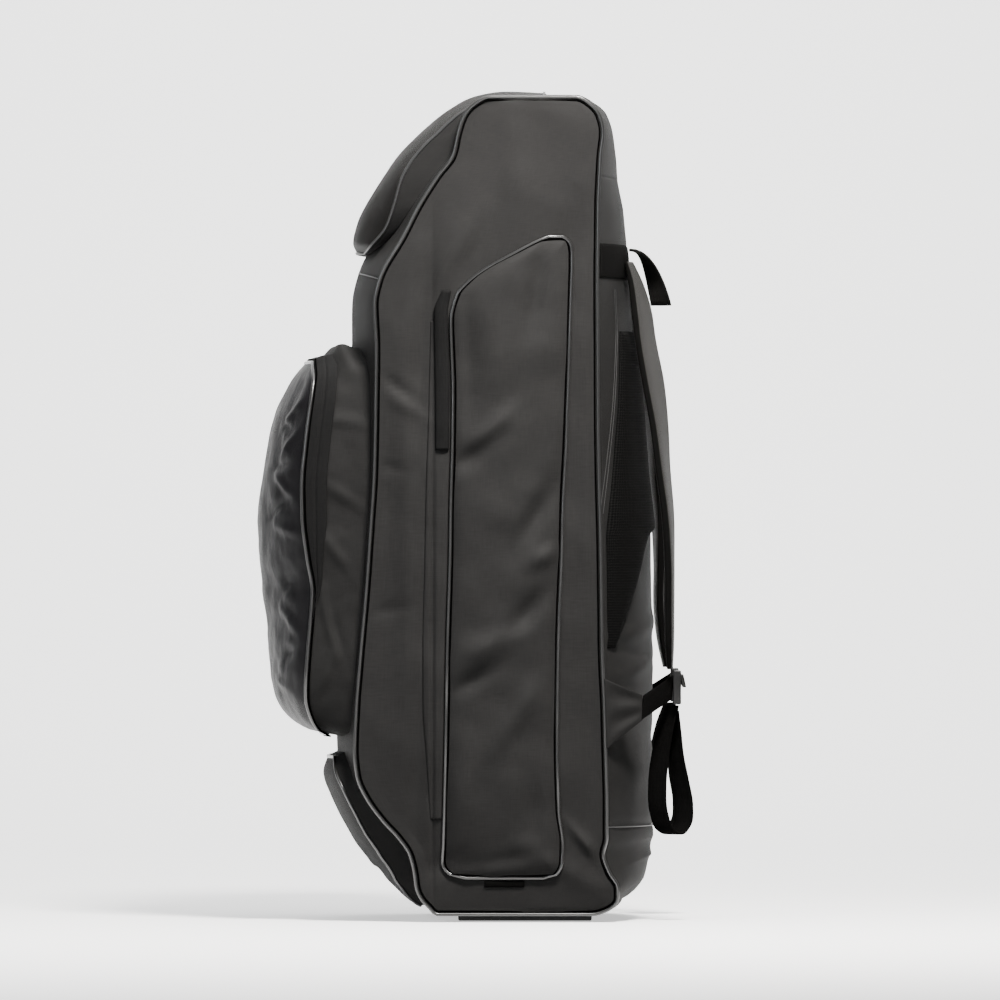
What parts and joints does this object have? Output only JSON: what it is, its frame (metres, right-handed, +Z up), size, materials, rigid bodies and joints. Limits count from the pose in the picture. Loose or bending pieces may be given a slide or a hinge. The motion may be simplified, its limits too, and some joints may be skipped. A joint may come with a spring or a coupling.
{
  "type": "cricket kit bag",
  "caption": "Tall standing black cloth kit bag with piped side panels, domed front pocket, lid pocket, boot pocket, side bat pockets and padded shoulder straps.",
  "frame": {"origin": "centre of the bounding box, at the floor", "axes": "+Z up the standing bag, front pocket towards -Y, shoulder straps towards +Y, X across between the two side panels"},
  "size_m": [0.3772, 0.4852, 0.9338],
  "materials": {
    "polyester": "charcoal woven polyester, fine weave with a soft sheen",
    "satin_cloth": "smooth charcoal nylon with satin highlights and crinkles",
    "piping_cord": "black piping with a grey sheen",
    "webbing": "black ribbed webbing",
    "spacer_mesh": "matte black spacer mesh",
    "zip_tape": "matte black zip tape",
    "buckle_plastic": "glossy black moulded plastic",
    "runner_rubber": "matte black moulded skid strip"
  },
  "bodies": {
    "root": {"front_panel": "polyester", "top_panel": "polyester", "back_panel": "polyester", "base_panel": "polyester", "front_pocket_face": "satin_cloth", "front_pocket_wall": "polyester", "front_pocket_piping": "piping_cord", "front_pocket_zip": "zip_tape", "boot_pocket_face": "polyester", "boot_pocket_wall": "polyester", "lid_face": "satin_cloth", "boot_pocket_piping": "piping_cord", "lid_wall": "zip_tape", "lid_binding": "piping_cord", "strap_yoke": "webbing", "haul_loop": "webbing", "side_panel_right": "polyester", "side_piping_right": "piping_cord", "bat_pocket_right": "polyester", "bat_pocket_piping_right": "piping_cord", "bat_pocket_flap_right": "zip_tape", "bat_pocket_tab_right": "webbing", "back_pad_right": "spacer_mesh", "shoulder_strap_right": "polyester", "strap_buckle_right": "buckle_plastic", "strap_tail_right": "webbing", "strap_wing_right": "polyester", "strap_web_right": "webbing", "base_runner_right": "runner_rubber", "side_panel_left": "polyester", "side_piping_left": "piping_cord", "bat_pocket_left": "polyester", "bat_pocket_piping_left": "piping_cord", "bat_pocket_flap_left": "zip_tape", "bat_pocket_tab_left": "webbing", "back_pad_left": "spacer_mesh", "shoulder_strap_left": "polyester", "strap_buckle_left": "buckle_plastic", "strap_tail_left": "webbing", "strap_wing_left": "polyester", "strap_web_left": "webbing", "base_runner_left": "runner_rubber"}
  },
  "joints": []
}
